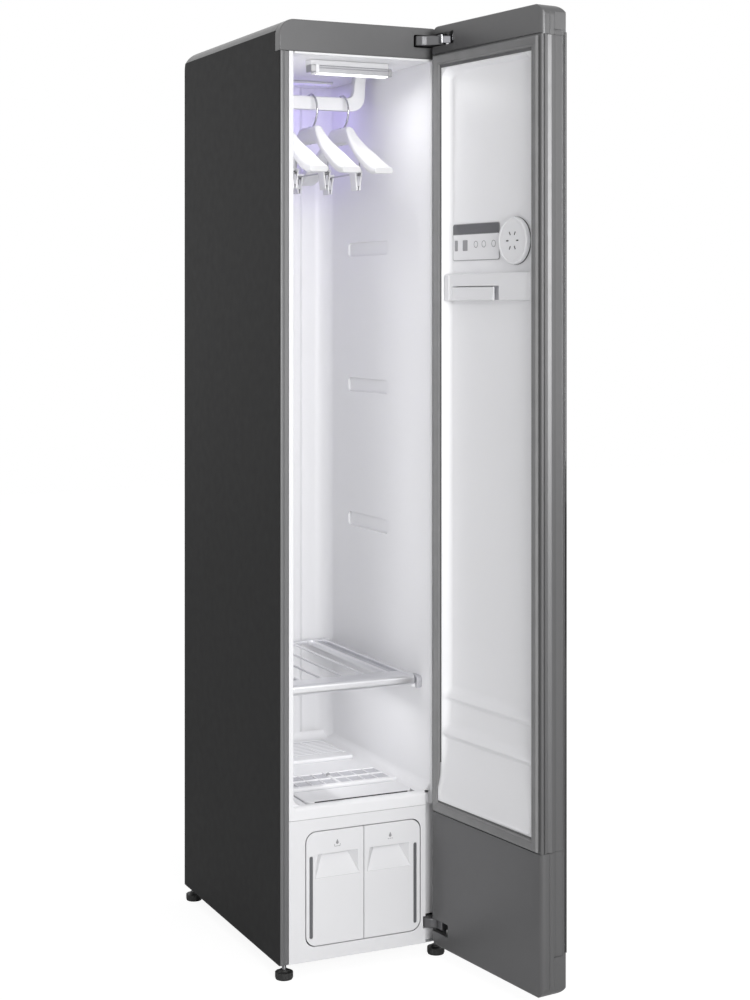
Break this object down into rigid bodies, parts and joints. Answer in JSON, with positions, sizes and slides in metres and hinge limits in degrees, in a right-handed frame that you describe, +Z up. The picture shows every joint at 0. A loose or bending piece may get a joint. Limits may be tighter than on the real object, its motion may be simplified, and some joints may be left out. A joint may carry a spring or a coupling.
{
  "type": "clothes care steam cabinet",
  "caption": "Slim clothes care steam cabinet with a glazed door, a shaking hanger rail with clip hangers, a shelf, and a steam module with lift-out water tanks.",
  "frame": {"origin": "centre of the base plate's flat underside, 28 mm above the floor that the levelling feet stand on", "axes": "+X to the right seen from the front, +Y to the back, +Z up"},
  "size_m": [0.4271, 0.9306, 1.85],
  "materials": {
    "graphite": "fine-textured satin powder coat",
    "grey_trim": "satin metallic grey",
    "plate": "galvanised",
    "inlet": "matt black",
    "hinge_metal": "polished casting",
    "liner": "satin white moulding",
    "fitting": "satin white moulding",
    "lamp": "opal diffuser with silver trim",
    "uv": "violet light strip",
    "shelf_wire": "satin",
    "rail": "gloss white",
    "motor": "matt black",
    "crank_metal": "satin",
    "machine": "gloss black enamel",
    "fins": "bare fins",
    "impeller": "white moulding",
    "boiler": "die cast",
    "control": "moulded",
    "tank": "smoky clear",
    "cap": "ribbed grey",
    "foot": "ribbed black",
    "hook": "polished wire",
    "hanger": "satin white moulding",
    "door_frame": "satin metallic grey paint",
    "door_glass": "dark tinted",
    "door_liner": "satin white moulding",
    "gasket": "grey extrusion",
    "door_fitting": "satin white moulding"
  },
  "bodies": {
    "cabinet": {"left_side_panel": "graphite", "right_side_panel": "graphite", "top_cover": "grey_trim", "head_fascia": "grey_trim", "left_stile": "grey_trim", "right_stile": "grey_trim", "back_panel": "plate", "base_plate": "plate", "power_inlet": "inlet", "upper_hinge": "hinge_metal", "lower_hinge": "hinge_metal", "liner_left": "liner", "liner_right": "liner", "liner_back": "liner", "liner_ceiling": "liner", "liner_floor": "liner", "steam_grille": "fitting", "air_grille": "fitting", "ceiling_lamp": "lamp", "uv_strip": "uv", "tank_housing": "fitting", "shaker_motor": "motor", "compressor": "machine", "heat_exchanger": "fins", "fan_housing": "motor", "steam_generator": "boiler", "control_box": "control"},
    "door": {"door_shell": "door_frame", "door_glass": "door_glass", "door_cap": "door_frame", "door_foot": "door_frame", "door_liner": "door_liner", "door_gasket": "gasket", "trouser_holder": "door_fitting"},
    "fragrance": {"fragrance_disc": "door_fitting"},
    "flap": {"trouser_flap": "door_fitting"},
    "supply_tank": {"supply_tank_front": "fitting", "supply_tank_body": "tank"},
    "supply_cap": {"supply_tank_cap": "cap"},
    "drain_tank": {"drain_tank_front": "fitting", "drain_tank_body": "tank"},
    "drain_cap": {"drain_tank_cap": "cap"},
    "garment_shelf": {"shelf": "shelf_wire"},
    "filter": {"lint_filter": "fitting"},
    "rail": {"hanger_rail": "rail"},
    "crank": {"rail_crank": "crank_metal"},
    "fan": {"fan_impeller": "impeller"},
    "hanger_left": {"hanger_left_hook": "hook", "hanger_left_shoulder": "hanger", "hanger_left_clips": "hanger"},
    "hanger_middle": {"hanger_middle_hook": "hook", "hanger_middle_shoulder": "hanger", "hanger_middle_clips": "hanger"},
    "hanger_right": {"hanger_right_hook": "hook", "hanger_right_shoulder": "hanger", "hanger_right_clips": "hanger"},
    "foot_front_left_body": {"foot_front_left": "foot"},
    "foot_front_right_body": {"foot_front_right": "foot"},
    "foot_rear_left_body": {"foot_rear_left": "foot"},
    "foot_rear_right_body": {"foot_rear_right": "foot"}
  },
  "joints": [
    {"name": "door_hinge", "type": "hinge", "parent": "cabinet", "child": "door", "pos_m": [0.163, -0.305, 0.9], "axis": [0, 0, 1], "range_deg": [-97.4, 12]},
    {"name": "fragrance_turn", "type": "hinge", "parent": "door", "child": "fragrance", "pos_m": [0.19094, -0.54339, 1.391], "axis": [-0.9917, -0.1288, 0], "range_deg": [0, 90]},
    {"name": "trouser_flap_hinge", "type": "hinge", "parent": "door", "child": "flap", "pos_m": [0.1677, -0.42893, 1.303], "axis": [-0.1288, 0.9917, 0], "range_deg": [0, 45]},
    {"name": "supply_tank_slide", "type": "slide", "parent": "cabinet", "child": "supply_tank", "axis": [0, -1, 0], "range_m": [0, 0.22]},
    {"name": "drain_tank_slide", "type": "slide", "parent": "cabinet", "child": "drain_tank", "axis": [0, -1, 0], "range_m": [0, 0.22]},
    {"name": "supply_cap_turn", "type": "hinge", "parent": "supply_tank", "child": "supply_cap", "pos_m": [-0.06212, -0.1937, 0.233], "axis": [0, 0, 1], "range_deg": [0, 90]},
    {"name": "drain_cap_turn", "type": "hinge", "parent": "drain_tank", "child": "drain_cap", "pos_m": [0.06212, -0.1937, 0.233], "axis": [0, 0, 1], "range_deg": [0, 90]},
    {"name": "shelf_slide", "type": "slide", "parent": "cabinet", "child": "garment_shelf", "axis": [0, -1, 0], "range_m": [0, 0.3]},
    {"name": "filter_lift", "type": "slide", "parent": "cabinet", "child": "filter", "axis": [0, 0, 1], "range_m": [0, 0.06]},
    {"name": "rail_shake", "type": "slide", "parent": "cabinet", "child": "rail", "axis": [1, 0, 0], "range_m": [-0.012, 0.012]},
    {"name": "crank_spin", "type": "hinge", "parent": "cabinet", "child": "crank", "pos_m": [0, -0.005, 1.774], "axis": [0, 0, 1], "continuous": true},
    {"name": "fan_spin", "type": "hinge", "parent": "cabinet", "child": "fan", "pos_m": [0.087, 0.075, 0.19], "axis": [0, 1, 0], "continuous": true},
    {"name": "hanger_left_swing", "type": "hinge", "parent": "rail", "child": "hanger_left", "pos_m": [-0.069, -0.005, 1.67708], "axis": [1, 0, 0], "range_deg": [-8, 8]},
    {"name": "hanger_middle_swing", "type": "hinge", "parent": "rail", "child": "hanger_middle", "pos_m": [0.002, -0.005, 1.67708], "axis": [1, 0, 0], "range_deg": [-8, 8]},
    {"name": "hanger_right_swing", "type": "hinge", "parent": "rail", "child": "hanger_right", "pos_m": [0.073, -0.005, 1.67708], "axis": [1, 0, 0], "range_deg": [-8, 8]},
    {"name": "foot_front_left_turn", "type": "hinge", "parent": "cabinet", "child": "foot_front_left_body", "pos_m": [-0.164, -0.266, -0.014], "axis": [0, 0, 1], "continuous": true},
    {"name": "foot_front_right_turn", "type": "hinge", "parent": "cabinet", "child": "foot_front_right_body", "pos_m": [0.164, -0.266, -0.014], "axis": [0, 0, 1], "continuous": true},
    {"name": "foot_rear_left_turn", "type": "hinge", "parent": "cabinet", "child": "foot_rear_left_body", "pos_m": [-0.164, 0.254, -0.014], "axis": [0, 0, 1], "continuous": true},
    {"name": "foot_rear_right_turn", "type": "hinge", "parent": "cabinet", "child": "foot_rear_right_body", "pos_m": [0.164, 0.254, -0.014], "axis": [0, 0, 1], "continuous": true}
  ]
}
